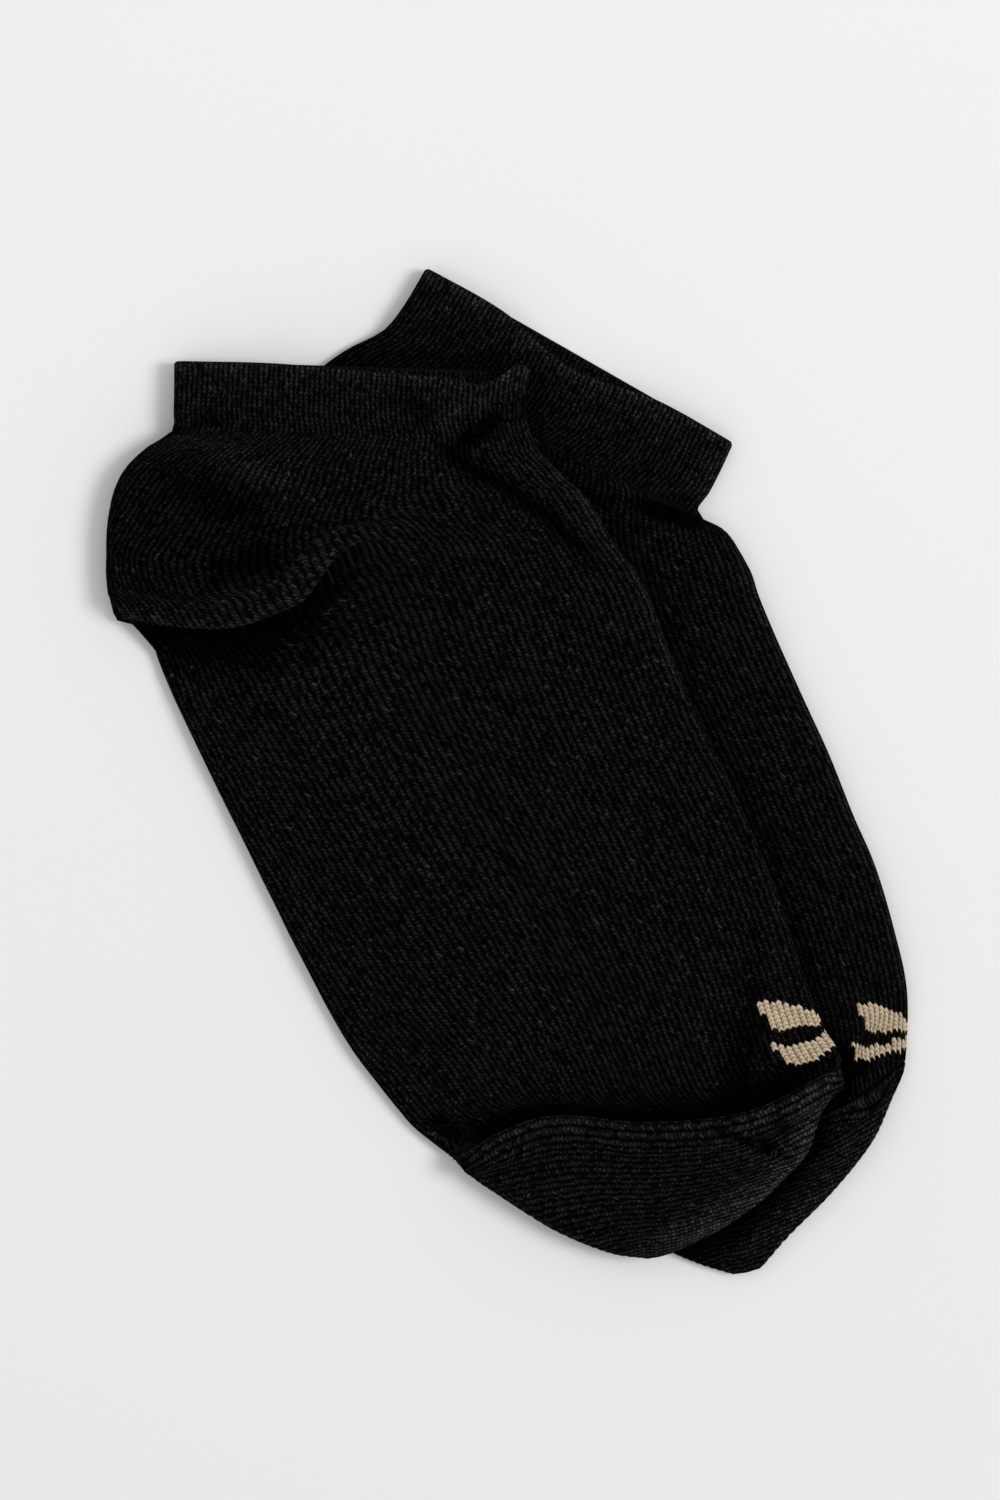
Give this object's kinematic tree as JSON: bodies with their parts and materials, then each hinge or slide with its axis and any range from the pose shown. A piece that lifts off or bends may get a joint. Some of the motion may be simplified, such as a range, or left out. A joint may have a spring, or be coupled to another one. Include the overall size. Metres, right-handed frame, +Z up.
{
  "type": "pair of low-cut knitted socks",
  "caption": "Pair of fine-knit low-cut socks lying flat in profile, one over the other, with turned-over heel and toe pockets and open mouths.",
  "frame": {"origin": "middle of the pair's bounding box, on the surface that the pair lies on", "axes": "+Z up out of the surface, +Y along the picture's upright from the toes to the mouths, +X from the soles to the insteps"},
  "size_m": [0.1598, 0.2004, 0.0108],
  "materials": {
    "over_knit": "fine black cotton rib knit, matt, with two short beige knitted bars at the toe",
    "under_knit": "fine black cotton rib knit, matt, with two short beige knitted bars at the toe"
  },
  "bodies": {
    "root": {"sock_over": "over_knit", "sock_under": "under_knit"}
  },
  "joints": []
}
